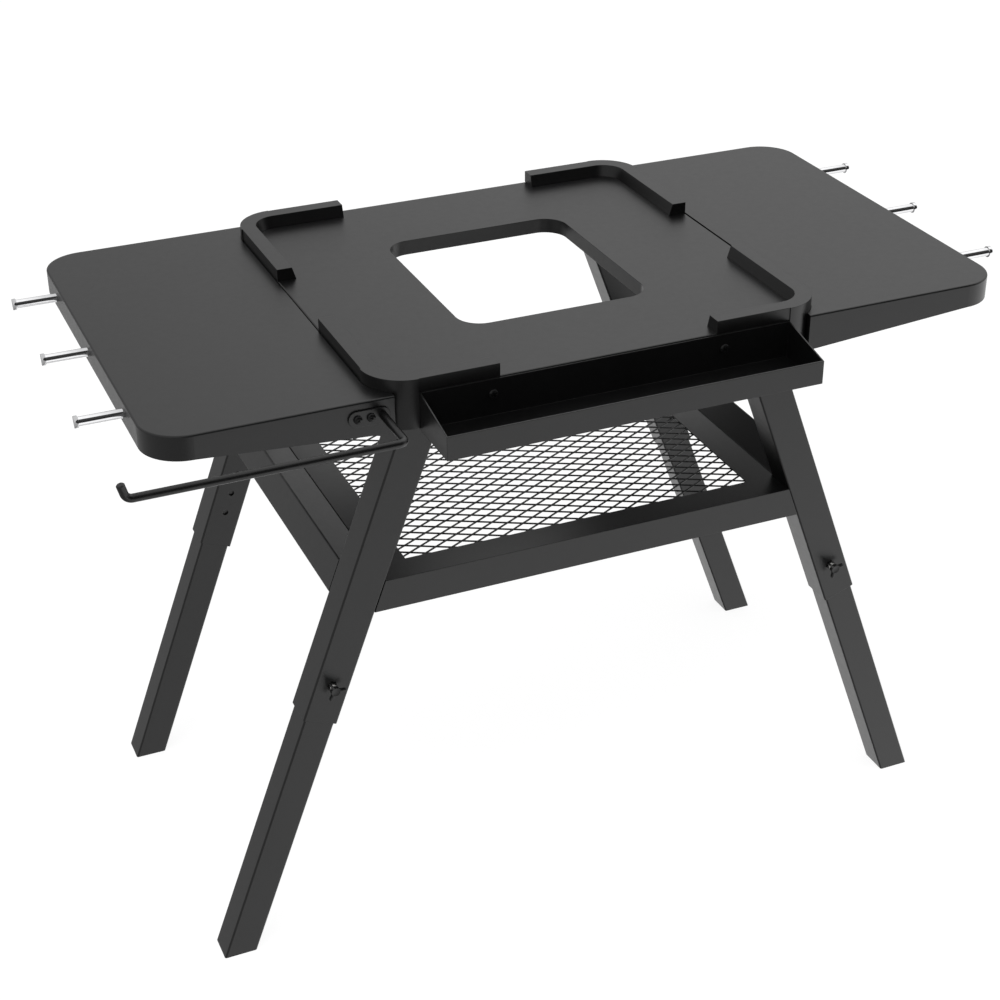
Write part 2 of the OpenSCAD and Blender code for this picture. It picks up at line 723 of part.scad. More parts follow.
module shelf_frame() {
  edge = inner_x(shelf_z) - shelf_gap;
  drop_x = shelf_flange_h * tan(leg_tilt);
  depth = shelf_rear_y - shelf_front_y;
  side_t = shelf_t / cos(leg_tilt);
  in_place() color(BLACK) difference() {
    union() {
      translate([0, 0, shelf_z - shelf_t]) linear_extrude(shelf_t) difference() {
        translate([-edge, shelf_front_y]) square([2 * edge, depth]);
        translate([-open_x, open_front_y]) square([2 * open_x, open_rear_y - open_front_y]);
      }
      for (y = [shelf_front_y + shelf_t, shelf_rear_y])
        translate([0, y, shelf_z]) rotate([90, 0, 0]) linear_extrude(shelf_t)
          polygon([
            [-edge, 0], [edge, 0],
            [edge + drop_x, -shelf_flange_h], [-edge - drop_x, -shelf_flange_h]
          ]);
      for (side = [LEFT, RIGHT])
        on_side(side)
          translate([0, shelf_rear_y, shelf_z]) rotate([90, 0, 0]) linear_extrude(depth)
            polygon([
              [edge, 0], [edge + drop_x, -shelf_flange_h],
              [edge + drop_x - side_t, -shelf_flange_h], [edge - side_t, 0]
            ]);
    }
    at_shelf_screws() translate([0, 0, -2 * shelf_t])
      cylinder(r = screw_d / 2 + hole_gap, h = 4 * shelf_t);
  }
}

// Repeats a shape at the shelf screws: z = 0 on the side flange's inner face, pointing inwards
module at_shelf_screws() {
  for (side = [LEFT, RIGHT], row = [-1, 0, 1])
    translate([side * foot_x, leg_y_front + tube / 2 + rail_mid + row * shelf_screw_pitch, 0])
      rotate([0, -side * leg_tilt, 0])
        translate([-side * (tube / 2 + shelf_gap * cos(leg_tilt) + shelf_t), 0, rail_s])
          rotate([0, -side * 90, 0]) children();
}

module shelf_frame_screws() {
  in_place() color(BLACK) at_shelf_screws()
    pan_screw(screw_d, shelf_t + tube_wall + shelf_screw_tip, small_pan_d, pan_h);
}

// A mesh of diamond openings in staggered rows, with a solid rim all round
module shelf_mesh() {
  half_w = open_x + mesh_rim;
  front = open_front_y - mesh_rim;
  rear = open_rear_y + mesh_rim;
  slope = atan2(mesh_pitch_y, mesh_pitch_x);
  gap_x = mesh_pitch_x / 2 - mesh_strand / 2 / sin(slope);
  gap_y = mesh_pitch_y / 2 - mesh_strand / 2 / cos(slope);
  cols = floor(open_x / (mesh_pitch_x / 2)) - 1;
  mid_y = (front + rear) / 2;
  rows = floor((open_rear_y - open_front_y) / 2 / (mesh_pitch_y / 2)) - 1;
  places = [
    for (i = [-cols : cols], j = [-rows : rows]) if ((i + j) % 2 == 0)
      [i * mesh_pitch_x / 2, mid_y + j * mesh_pitch_y / 2]
  ];
  rim = [[-half_w, front], [half_w, front], [half_w, rear], [-half_w, rear]];
  gaps = [for (p = places) each [p + [gap_x, 0], p + [0, gap_y], p - [gap_x, 0], p - [0, gap_y]]];
  paths = concat([[0, 1, 2, 3]], [for (k = [0 : len(places) - 1]) [for (c = [4 : 7]) 4 * k + c]]);
  in_place() color(DARK) translate([0, 0, shelf_z - shelf_t - mesh_t]) linear_extrude(mesh_t)
    polygon(concat(rim, gaps), paths);
}

module lower_leg(side, end) {
  in_place() color(BLACK) difference() {
    on_leg(side, end) translate([0, 0, -tube])
      linear_extrude(shin_end + tube) square_tube(inner_tube, inner_wall, tube_r);
    translate([-far, -far, -far]) cube([2 * far, 2 * far, far]);
    on_leg_face(side, end, button_s, shin_face, out = false)
      translate([0, 0, -inner_wall - over])
        cylinder(r = hole_d / 2, h = inner_wall + 2 * over);
  }
}

module foot_plug(side, end) {
  in_place() color(DARK) difference() {
    on_leg(side, end) translate([0, 0, -tube]) linear_extrude(plug_h + tube)
      rounded_rect(shin_bore - 2 * plug_gap, shin_bore - 2 * plug_gap, plug_r);
    translate([-far, -far, -far]) cube([2 * far, 2 * far, far]);
  }
}

// A snap button, drawn pressed in until it is flush with the lower leg's face
module snap_button(side, end) {
  collar_top = inner_wall + button_travel + button_gap;
  in_place() color(DARK) on_leg_face(side, end, button_s, shin_face, out = false) {
    translate([0, 0, -collar_top]) cylinder(r = hole_d / 2 - button_gap, h = collar_top);
    translate([0, 0, -collar_top - button_collar_t])
      cylinder(r = button_collar_d / 2, h = button_collar_t);
  }
}

// A bent strip inside the lower leg that pushes the button out
module leaf_spring(side, end) {
  top = shin_face - inner_wall - button_travel - button_gap - button_collar_t;
  bottom = -shin_bore / 2;
  bend = (top - bottom) / 2;
  in_place() color(STEEL) on_leg(side, end) translate([-spring_w / 2, 0, button_s])
    rotate([90, 0, 90]) mirror([end == FRONT ? 0 : 1, 0, 0]) linear_extrude(spring_w) {
      translate([top - spring_t, -spring_len]) square([spring_t, spring_len + button_collar_d / 2]);
      translate([bottom, -spring_len]) square([spring_t, spring_len]);
      translate([bottom + bend, -spring_len]) difference() {
        circle(r = bend);
        circle(r = bend - spring_t);
        translate([-far / 2, 0]) square([far, far]);
      }
    }
}

// The clamp's pieces: z = 0 on the upper leg's outer face, pointing outwards
module at_clamp(side, end) {
  on_leg_face(side, end, clamp_s, tube / 2) children();
}

module clamp_nuts() {
  in_place() color(BLACK) for (side = [LEFT, RIGHT], end = [FRONT, REAR])
    at_clamp(side, end) hex_nut(nut_af, clinch_h, bolt_d + 2 * thread_play);
}

module clamp_stud(side, end) {
  tip = tube_wall + slide_gap - tip_gap;
  in_place() color(STEEL) at_clamp(side, end) translate([0, 0, -tip])
    cylinder(r = bolt_d / 2, h = tip + clinch_h + shank_show + knob_h - knob_cap_t);
}

function knob_turn(side, end) =
  end == FRONT ? (side == LEFT ? knob_turn_front_left : knob_turn_front_right)
    : (side == LEFT ? knob_turn_rear_left : knob_turn_rear_right);

module clamp_knob(side, end) {
  lobe_h = knob_h - 2 * lobe_step;
  in_place() color(DARK) at_clamp(side, end) translate([0, 0, clinch_h + shank_show]) difference() {
    union() {
      cylinder(r = hub_r, h = knob_h);
      for (lobe = [0 : 2])
        rotate([0, 0, knob_turn(side, end) + lobe * 120]) translate([0, 0, lobe_step]) {
          translate([0, -lobe_r, 0]) cube([knob_r - lobe_r, 2 * lobe_r, lobe_h]);
          translate([knob_r - lobe_r, 0, 0]) cylinder(r = lobe_r, h = lobe_h);
        }
    }
    translate([0, 0, -over])
      cylinder(r = bolt_d / 2 + seat_gap, h = over + knob_h - knob_cap_t + seat_gap);
  }
}

deck();
guard(LEFT, FRONT);  // guard_front_left
guard(RIGHT, FRONT);  // guard_front_right
guard(LEFT, REAR);  // guard_rear_left
guard(RIGHT, REAR);  // guard_rear_right
front_tray();
tray_screws();
tray_nuts();
side_shelf(LEFT);  // side_shelf_left
side_shelf(RIGHT);  // side_shelf_right
shelf_bolts();
shelf_nuts();
pegs(LEFT);  // pegs_left
pegs(RIGHT);  // pegs_right
peg_screws();
towel_plate();
towel_rod();
towel_screws();
towel_nuts();
upper_leg(LEFT, FRONT);  // upper_leg_front_left
upper_leg(RIGHT, FRONT);  // upper_leg_front_right
upper_leg(LEFT, REAR);  // upper_leg_rear_left
upper_leg(RIGHT, REAR);  // upper_leg_rear_right
leg_plate(LEFT, FRONT);  // leg_plate_front_left
leg_plate(RIGHT, FRONT);  // leg_plate_front_right
leg_plate(LEFT, REAR);  // leg_plate_rear_left
leg_plate(RIGHT, REAR);  // leg_plate_rear_right
deck_studs();
deck_nuts();
side_rail(LEFT);  // side_rail_left
side_rail(RIGHT);  // side_rail_right
shelf_frame();
shelf_mesh();
shelf_frame_screws();
lower_leg(LEFT, FRONT);  // lower_leg_front_left
lower_leg(RIGHT, FRONT);  // lower_leg_front_right
lower_leg(LEFT, REAR);  // lower_leg_rear_left
lower_leg(RIGHT, REAR);  // lower_leg_rear_right
foot_plug(LEFT, FRONT);  // foot_plug_front_left
foot_plug(RIGHT, FRONT);  // foot_plug_front_right
foot_plug(LEFT, REAR);  // foot_plug_rear_left
foot_plug(RIGHT, REAR);  // foot_plug_rear_right
snap_button(LEFT, FRONT);  // snap_button_front_left
snap_button(RIGHT, FRONT);  // snap_button_front_right
snap_button(LEFT, REAR);  // snap_button_rear_left
snap_button(RIGHT, REAR);  // snap_button_rear_right
leaf_spring(LEFT, FRONT);  // leaf_spring_front_left
leaf_spring(RIGHT, FRONT);  // leaf_spring_front_right
leaf_spring(LEFT, REAR);  // leaf_spring_rear_left
leaf_spring(RIGHT, REAR);  // leaf_spring_rear_right
clamp_stud(LEFT, FRONT);  // clamp_stud_front_left
clamp_stud(RIGHT, FRONT);  // clamp_stud_front_right
clamp_stud(LEFT, REAR);  // clamp_stud_rear_left
clamp_stud(RIGHT, REAR);  // clamp_stud_rear_right
clamp_knob(LEFT, FRONT);  // clamp_knob_front_left
clamp_knob(RIGHT, FRONT);  // clamp_knob_front_right
clamp_knob(LEFT, REAR);  // clamp_knob_rear_left
clamp_knob(RIGHT, REAR);  // clamp_knob_rear_right
clamp_nuts();
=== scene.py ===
"""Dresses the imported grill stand: finishes, pegs, expanded mesh, screws, knobs and studio."""

import logging
import math
from collections.abc import Callable, Iterable, Sequence
from dataclasses import dataclass, field
from enum import Enum
from functools import reduce

import bpy
from mathutils import Matrix, Vector

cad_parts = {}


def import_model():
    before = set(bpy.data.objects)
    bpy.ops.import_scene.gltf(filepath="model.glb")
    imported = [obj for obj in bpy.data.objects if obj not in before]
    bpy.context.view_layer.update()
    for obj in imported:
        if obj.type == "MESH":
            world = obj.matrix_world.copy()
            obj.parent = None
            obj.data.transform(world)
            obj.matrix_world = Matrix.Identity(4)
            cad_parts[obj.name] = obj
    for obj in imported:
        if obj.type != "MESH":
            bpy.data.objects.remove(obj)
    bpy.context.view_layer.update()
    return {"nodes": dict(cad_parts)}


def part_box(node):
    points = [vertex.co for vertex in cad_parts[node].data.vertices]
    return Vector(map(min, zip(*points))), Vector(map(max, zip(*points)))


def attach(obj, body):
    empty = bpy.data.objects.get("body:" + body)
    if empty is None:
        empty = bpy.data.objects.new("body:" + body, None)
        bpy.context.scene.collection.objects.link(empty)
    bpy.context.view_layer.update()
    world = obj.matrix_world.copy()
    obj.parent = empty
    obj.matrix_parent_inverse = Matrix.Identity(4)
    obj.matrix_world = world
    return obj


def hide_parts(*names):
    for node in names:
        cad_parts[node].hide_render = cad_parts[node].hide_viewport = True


LOG = logging.getLogger("grill_stand")
MM = 0.001
# Points closer together than this, in metres, are one point
SAME_PLACE = 1e-6
# A face whose normal's z is over the first limit faces up, and one under the second sideways
FACES_UP = 0.9
FACES_SIDEWAYS = 0.1
Colour = tuple[float, float, float]
Pair = tuple[float, float]
Pairs = tuple[Pair, ...]


class Side(Enum):
    """Left and right of the stand, as the sign of x."""

    LEFT = -1
    RIGHT = 1


class End(Enum):
    """Front and rear of the stand, as the sign of y."""

    FRONT = -1
    REAR = 1


class Slot(Enum):
    """The record's material slots."""

    COAT = "black_powder_coat"
    MESH = "coated_mesh"
    HARDWARE = "black_hardware"
    CHROME = "chrome_peg"
    ZINC = "zinc_steel"
    SPRING = "spring_steel"
    PLASTIC = "black_plastic"


# Shader maths


class Shade:
    """A node socket that takes part in Python expressions."""

    def __init__(self, board: "NodeBoard", socket: bpy.types.NodeSocket) -> None:
        """Keeps the socket and its board.

        Args:
            board: The board that new nodes go on.
            socket: The output socket that this value stands for.
        """
        self.board = board
        self.socket = socket

    def _math(self, operation: str, first: object, second: object = 0.0) -> "Shade":
        """Adds one Math node.

        Args:
            operation: The node's operation.
            first: Its first value.
            second: Its second value.

        Returns:
            The node's result.
        """
        node = self.board.node("ShaderNodeMath", {"operation": operation}, {0: first, 1: second})
        return self.board.out(node, 0)

    def __add__(self, other: object) -> "Shade":
        """self + other."""
        return self._math("ADD", self, other)

    def __radd__(self, other: object) -> "Shade":
        """other + self."""
        return self._math("ADD", other, self)

    def __sub__(self, other: object) -> "Shade":
        """self - other."""
        return self._math("SUBTRACT", self, other)

    def __rsub__(self, other: object) -> "Shade":
        """other - self."""
        return self._math("SUBTRACT", other, self)

    def __mul__(self, other: object) -> "Shade":
        """self * other."""
        return self._math("MULTIPLY", self, other)

    def __rmul__(self, other: object) -> "Shade":
        """other * self."""
        return self._math("MULTIPLY", other, self)

    def highest(self, other: object) -> "Shade":
        """The larger of self and other."""
        return self._math("MAXIMUM", self, other)

    def ramp(self, low: float, high: float, start: float = 0.0, end: float = 1.0) -> "Shade":
        """Maps low to high smoothly onto start to end.

        Args:
            low: The value at which the result is start.
            high: The value at which the result is end.
            start: The result at low.
            end: The result at high.

        Returns:
            The mapped value.
        """
        node = self.board.node(
            "ShaderNodeMapRange",
            {"interpolation_type": "SMOOTHSTEP"},
            {"Value": self, "From Min": low, "From Max": high, "To Min": start, "To Max": end},
        )
        return self.board.out(node, "Result")


class NodeBoard:
    """Adds nodes to one node tree."""

    NOISE_ROUGHNESS = 0.55
    NOISE_MIDDLE = 0.5
    BEVEL_SAMPLES = 6
    # Sockets of a Mix node that mixes colours
    MIX_FACTOR, MIX_LOW, MIX_HIGH, MIX_RESULT = 0, 6, 7, 2

    def __init__(self, tree: bpy.types.NodeTree) -> None:
        """Clears the tree and keeps it.

        Args:
            tree: The node tree to fill.
        """
        self.tree = tree
        tree.nodes.clear()

    def node(
        self,
        kind: str,
        settings: dict[str, object] | None = None,
        inputs: dict[str | int, object] | None = None,
    ) -> bpy.types.Node:
        """Adds one node, sets its settings, then its sockets.

        Args:
            kind: The node's type.
            settings: Its own settings, such as an operation.
            inputs: Values or links for its sockets, by name or number.

        Returns:
            The node.
        """
        node = self.tree.nodes.new(kind)
        for name, value in (settings or {}).items():
            setattr(node, name, value)
        for name, value in (inputs or {}).items():
            socket = node.inputs[name]
            if isinstance(value, Shade):
                self.tree.links.new(value.socket, socket)
            else:
                socket.default_value = value
        return node

    def out(self, node: bpy.types.Node, name: str | int) -> Shade:
        """One output of a node as a value.

        Args:
            node: The node.
            name: The output's name or number.

        Returns:
            The output.
        """
        return Shade(self, node.outputs[name])

    def place(self) -> Shade:
        """The point's Object coordinates."""
        return self.out(self.node("ShaderNodeTexCoord"), "Object")

    def noise(self, place: Shade, per_metre: float, detail: float = 2.0) -> Shade:
        """Soft noise.

        Args:
            place: The point.
            per_metre: How many blobs there are in a metre.
            detail: How many finer layers are added.

        Returns:
            A value round a half.
        """
        node = self.node(
            "ShaderNodeTexNoise",
            {"noise_dimensions": "3D"},
            {
                "Vector": place,
                "Scale": per_metre,
                "Detail": detail,
                "Roughness": self.NOISE_ROUGHNESS,
            },
        )
        return self.out(node, "Fac")

    def swing(self, level: float, noise: Shade, width: float) -> Shade:
        """A level that a noise moves up and down, by half the width each way."""
        return level + (noise - self.NOISE_MIDDLE) * width

    def blend(self, amount: Shade, low: Colour, high: Colour) -> Shade:
        """Mixes two colours.

        Args:
            amount: 0 for the first colour, 1 for the second.
            low: The first colour, linear.
            high: The second colour, linear.

        Returns:
            The mixed colour.
        """
        node = self.node(
            "ShaderNodeMix",
            {"data_type": "RGBA"},
            {self.MIX_FACTOR: amount, self.MIX_LOW: (*low, 1.0), self.MIX_HIGH: (*high, 1.0)},
        )
        return self.out(node, self.MIX_RESULT)

    def bump(self, height: Shade, metres: float, normal: Shade | None = None) -> Shade:
        """A bumped normal.

        Args:
            height: The height, 0 to 1.
            metres: How tall a height of 1 is.
            normal: The normal underneath.

        Returns:
            The normal.
        """
        inputs: dict[str | int, object] = {"Height": height, "Strength": 1.0, "Distance": metres}
        if normal is not None:
            inputs["Normal"] = normal
        return self.out(self.node("ShaderNodeBump", None, inputs), "Normal")

    def soft_edges(self, radius: float) -> Shade:
        """The normal with its sharp edges rounded over a radius in metres."""
        node = self.node("ShaderNodeBevel", {"samples": self.BEVEL_SAMPLES}, {"Radius": radius})
        return self.out(node, "Normal")

    def finish(self, sockets: dict[str | int, object]) -> None:
        """Ends a material in one Principled BSDF.

        Args:
            sockets: The shader's values and links.
        """
        shader = self.node("ShaderNodeBsdfPrincipled", None, sockets)
        self.node("ShaderNodeOutputMaterial", None, {"Surface": self.out(shader, "BSDF")})


def new_board(name: str) -> tuple[bpy.types.Material, NodeBoard]:
    """Makes a material and the board of its nodes.

    Args:
        name: The material's name.

    Returns:
        The material and its board.
    """
    material = bpy.data.materials.new(name)
    material.use_nodes = True
    return material, NodeBoard(material.node_tree)


# Finishes


@dataclass(frozen=True)
class PowderCoat:
    """Satin black powder coat with a fine orange peel."""

    name: str = "satin_powder_coat"
    base: Colour = (0.0012, 0.0012, 0.0013)
    lighter: Colour = (0.0021, 0.0021, 0.0022)
    ior: float = 1.58
    roughness: float = 0.36
    roughness_swing: float = 0.07
    cloud_per_metre: float = 9.0
    cloud_share: float = 0.6
    mottle_per_metre: float = 130.0
    tone_range: Pair = (0.35, 0.65)
    peel_per_metre: float = 520.0
    peel_height: float = 5e-6
    grain_per_metre: float = 2600.0
    grain_height: float = 1.0e-6
    edge_radius: float = 0.8 * MM
    mark_places: Pairs = ()
    mark_radius: float = 1.1 * MM
    mark_depth: float = 0.12 * MM
    mark_roughness: float = 0.2

    def marks(self, board: NodeBoard, place: Shade) -> Shade:
        """A mask of the small round marks that spot welds leave in the top face.

        Args:
            board: The board to draw on.
            place: The point.

        Returns:
            1 in a mark's middle, 0 away from it.
        """
        split = board.node("ShaderNodeSeparateXYZ", None, {0: place})
        x, y = board.out(split, 0), board.out(split, 1)
        flat = board.out(board.node("ShaderNodeCombineXYZ", None, {0: x, 1: y}), 0)
        spots = []
        for mark in self.mark_places:
            away = board.node(
                "ShaderNodeVectorMath", {"operation": "DISTANCE"}, {0: flat, 1: (*mark, 0.0)}
            )
            spots.append(board.out(away, "Value").ramp(0.0, self.mark_radius, 1.0, 0.0))
        return reduce(Shade.highest, spots)

    def build(self) -> bpy.types.Material:
        """Makes the material.

        Returns:
            The material.
        """
        material, board = new_board(self.name)
        place = board.place()
        cloud = board.noise(place, self.cloud_per_metre, detail=3.0)
        mottle = board.noise(place, self.mottle_per_metre, detail=2.0)
        peel = board.noise(place, self.peel_per_metre, detail=1.0)
        grain = board.noise(place, self.grain_per_metre, detail=0.0)
        tone = cloud * self.cloud_share + mottle * (1.0 - self.cloud_share)
        rough = board.swing(self.roughness, mottle, self.roughness_swing)
        normal = board.soft_edges(self.edge_radius)
        if self.mark_places:
            mask = self.marks(board, place)
            rough = rough + mask * self.mark_roughness
            normal = board.bump(1.0 - mask, self.mark_depth, normal)
        normal = board.bump(peel, self.peel_height, normal)
        normal = board.bump(grain, self.grain_height, normal)
        board.finish(
            {
                "Base Color": board.blend(tone.ramp(*self.tone_range), self.base, self.lighter),
                "Roughness": rough,
                "IOR": self.ior,
                "Normal": normal,
            }
        )
        return material


@dataclass(frozen=True)
class DippedMesh:
    """Black coat on expanded steel, slightly lumpy, over strands with rounded edges."""

    name: str = "dipped_mesh_coat"
    base: Colour = (0.0012, 0.0012, 0.0013)
    lighter: Colour = (0.0025, 0.0025, 0.0026)
    roughness: float = 0.34
    roughness_swing: float = 0.12
    ior: float = 1.44
    lumps_per_metre: float = 240.0
    lump_share: float = 0.8
    fine_per_metre: float = 1500.0
    bump_height: float = 0.02 * MM
    strand_round: float = 0.75 * MM

    def build(self) -> bpy.types.Material:
        """Makes the material.

        Returns:
            The material.
        """
        material, board = new_board(self.name)
        place = board.place()
        lumps = board.noise(place, self.lumps_per_metre, detail=2.0)
        fine = board.noise(place, self.fine_per_metre, detail=1.0)
        height = lumps * self.lump_share + fine * (1.0 - self.lump_share)
        board.finish(
            {
                "Base Color": board.blend(lumps, self.base, self.lighter),
                "Roughness": board.swing(self.roughness, lumps, self.roughness_swing),
                "IOR": self.ior,
                "Normal": board.bump(height, self.bump_height, board.soft_edges(self.strand_round)),
            }
        )
        return material


@dataclass(frozen=True)
class BlackenedScrew:
    """Black oxide on steel screws, with a slight sheen."""

    name: str = "blackened_screw_steel"
    base: Colour = (0.002, 0.002, 0.0021)
    lighter: Colour = (0.005, 0.005, 0.0052)
    roughness: float = 0.26
    roughness_swing: float = 0.15
    ior: float = 1.36
    cloud_per_metre: float = 900.0
    tone_range: Pair = (0.3, 0.7)
    fine_per_metre: float = 4000.0
    fine_height: float = 0.006 * MM
    edge_radius: float = 0.2 * MM

    def build(self) -> bpy.types.Material:
        """Makes the material.

        Returns:
            The material.
        """
        material, board = new_board(self.name)
        place = board.place()
        cloud = board.noise(place, self.cloud_per_metre, detail=2.0)
        fine = board.noise(place, self.fine_per_metre, detail=1.0)
        board.finish(
            {
                "Base Color": board.blend(cloud.ramp(*self.tone_range), self.base, self.lighter),
                "Roughness": board.swing(self.roughness, cloud, self.roughness_swing),
                "IOR": self.ior,
                "Normal": board.bump(fine, self.fine_height, board.soft_edges(self.edge_radius)),
            }
        )
        return material


@dataclass(frozen=True)
class BrightMetal:
    """Plated or bare steel, with turning lines where it was turned along x."""

    name: str
    base: Colour
    lighter: Colour
    roughness: float
    roughness_swing: float
    metallic: float = 1.0
    cloud_per_metre: float = 300.0
    tone_range: Pair = (0.3, 0.7)
    fine_per_cloud: float = 8.0
    fine_height: float = 0.002 * MM
    lines_per_metre: float = 0.0
    line_height: float = 0.0012 * MM
    edge_radius: float = 0.25 * MM

    def build(self) -> bpy.types.Material:
        """Makes the material.

        Returns:
            The material.
        """
        material, board = new_board(self.name)
        place = board.place()
        cloud = board.noise(place, self.cloud_per_metre, detail=3.0)
        fine = board.noise(place, self.cloud_per_metre * self.fine_per_cloud, detail=1.0)
        normal = board.bump(fine, self.fine_height, board.soft_edges(self.edge_radius))
        if self.lines_per_metre:
            split = board.node("ShaderNodeSeparateXYZ", None, {0: place})
            along = board.node("ShaderNodeCombineXYZ", None, {0: board.out(split, 0)})
            lines = board.noise(board.out(along, 0), self.lines_per_metre, detail=2.0)
            normal = board.bump(lines, self.line_height, normal)
        board.finish(
            {
                "Base Color": board.blend(cloud.ramp(*self.tone_range), self.base, self.lighter),
                "Metallic": self.metallic,
                "Roughness": board.swing(self.roughness, cloud, self.roughness_swing),
                "Normal": normal,
            }
        )
        return material


@dataclass(frozen=True)
class MouldedPlastic:
    """Black moulded nylon with a fine spark-eroded texture."""

    name: str = "moulded_black_nylon"
    base: Colour = (0.006, 0.006, 0.0062)
    lighter: Colour = (0.011, 0.011, 0.0112)
    roughness: float = 0.42
    roughness_swing: float = 0.12
    cloud_per_metre: float = 260.0
    spark_per_metre: float = 2400.0
    spark_height: float = 0.012 * MM
    edge_radius: float = 0.3 * MM

    def build(self) -> bpy.types.Material:
        """Makes the material.

        Returns:
            The material.
        """
        material, board = new_board(self.name)
        place = board.place()
        cloud = board.noise(place, self.cloud_per_metre, detail=2.0)
        spark = board.noise(place, self.spark_per_metre, detail=2.0)
        board.finish(
            {
                "Base Color": board.blend(cloud, self.base, self.lighter),
                "Roughness": board.swing(self.roughness, cloud, self.roughness_swing),
                "Normal": board.bump(spark, self.spark_height, board.soft_edges(self.edge_radius)),
            }
        )
        return material


# Hand tools


class Bench:
    """Holds one object at a time and works on it with Blender's own tools."""

    @staticmethod
    def clear() -> None:
        """Leaves edit mode and deselects everything."""
        if bpy.context.object is not None and bpy.context.object.mode != "OBJECT":
            bpy.ops.object.mode_set(mode="OBJECT")
        bpy.ops.object.select_all(action="DESELECT")

    @classmethod
    def take(cls, *objects: bpy.types.Object) -> None:
        """Selects these objects alone and makes the first one active.

        Args:
            *objects: The objects to work on.
        """
        cls.clear()
        for one in objects:
            one.select_set(True)
        bpy.context.view_layer.objects.active = objects[0]

    @classmethod
    def cylinder(cls, name: str, radius: float, height: float, sides: int) -> bpy.types.Object:
        """A cylinder from z = 0 up.

        Args:
            name: The object's name.
            radius: Its radius.
            height: Its height.
            sides: How many sides stand for the round.

        Returns:
            The object, selected alone.
        """
        cls.clear()
        bpy.ops.mesh.primitive_cylinder_add(
            vertices=sides, radius=radius, depth=height, location=(0.0, 0.0, height / 2)
        )
        made = bpy.context.object
        made.name = name
        bpy.ops.object.transform_apply(location=True, rotation=True, scale=True)
        return made

    @classmethod
    def pick(cls, held: bpy.types.Object, test: Callable[[bpy.types.MeshPolygon], bool]) -> None:
        """Opens edit mode with just the faces selected that pass a test.

        Args:
            held: The object.
            test: Tells whether a face is wanted, by its place or normal.
        """
        cls.take(held)
        bpy.ops.object.mode_set(mode="EDIT")
        bpy.ops.mesh.select_mode(type="FACE")
        bpy.ops.mesh.select_all(action="DESELECT")
        bpy.ops.object.mode_set(mode="OBJECT")
        for face in held.data.polygons:
            face.select = test(face)
        bpy.ops.object.mode_set(mode="EDIT")

    @staticmethod
    def draw_out(move: Vector | Sequence[float]) -> None:
        """Extrudes the selected faces by a vector."""
        bpy.ops.mesh.extrude_region_move(TRANSFORM_OT_translate={"value": tuple(move)})

    @staticmethod
    def grow(factor: Sequence[float], centre: Sequence[float]) -> None:
        """Resizes the selection about a point."""
        bpy.ops.transform.resize(value=tuple(factor), center_override=tuple(centre))

    @classmethod
    def turn_profile(cls, held: bpy.types.Object, profile: Iterable[Pair]) -> None:
        """Draws the top face up in steps, as on a lathe.

        Args:
            held: A cylinder from z = 0 up.
            profile: Height and radius of each step after the cylinder.
        """
        top = max(corner.co.z for corner in held.data.vertices)
        radius = max(corner.co.to_2d().length for corner in held.data.vertices)
        cls.pick(held, lambda face: face.normal.z > FACES_UP and face.center.z > top - SAME_PLACE)
        for height, next_radius in profile:
            cls.draw_out((0.0, 0.0, height - top))
            factor = next_radius / radius
            cls.grow((factor, factor, 1.0), (0.0, 0.0, height))
            top, radius = height, next_radius
        bpy.ops.object.mode_set(mode="OBJECT")

    @classmethod
    def make_outward(cls, held: bpy.types.Object) -> None:
        """Merges doubles and turns all faces outwards."""
        cls.take(held)
        bpy.ops.object.mode_set(mode="EDIT")
        bpy.ops.mesh.select_all(action="SELECT")
        bpy.ops.mesh.remove_doubles(threshold=SAME_PLACE)
        bpy.ops.mesh.normals_make_consistent(inside=False)
        bpy.ops.object.mode_set(mode="OBJECT")

    @classmethod
    def modify(cls, held: bpy.types.Object, kind: str, **settings: object) -> None:
        """Adds one modifier and applies it.

        Args:
            held: The object.
            kind: The modifier's type.
            **settings: Its settings.
        """
        cls.take(held)
        modifier = held.modifiers.new(kind.lower(), kind)
        for name, value in settings.items():
            setattr(modifier, name, value)
        bpy.ops.object.modifier_apply(modifier=modifier.name)

    @classmethod
    def cut(cls, held: bpy.types.Object, cutter: bpy.types.Object) -> None:
        """Takes the cutter's shape out of the held object and removes the cutter."""
        cls.modify(held, "BOOLEAN", operation="DIFFERENCE", object=cutter, solver="EXACT")
        bpy.data.objects.remove(cutter)

    @classmethod
    def smooth(cls, held: bpy.types.Object, degrees: float = 32.0) -> None:
        """Shades the object smooth where faces meet at less than an angle."""
        cls.take(held)
        bpy.ops.object.shade_smooth_by_angle(angle=math.radians(degrees))

    @classmethod
    def copies(
        cls, pattern: bpy.types.Object, places: Sequence[Matrix], name: str
    ) -> bpy.types.Object:
        """Copies a modelled piece to several places as one object at the origin.

        Args:
            pattern: The piece, modelled at the origin; it is used up.
            places: Where each copy goes.
            name: The result's name.

        Returns:
            The joined object.
        """
        made = []
        for place in places:
            mesh = pattern.data.copy()
            mesh.transform(place)
            one = bpy.data.objects.new(name, mesh)
            bpy.context.scene.collection.objects.link(one)
            made.append(one)
        bpy.data.objects.remove(pattern)
        cls.take(*made)
        if len(made) > 1:
            bpy.ops.object.join()
        made[0].name = name
        return made[0]


def middle(node: str) -> Vector:
    """The middle of a node's box."""
    low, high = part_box(node)
    return (Vector(low) + Vector(high)) / 2


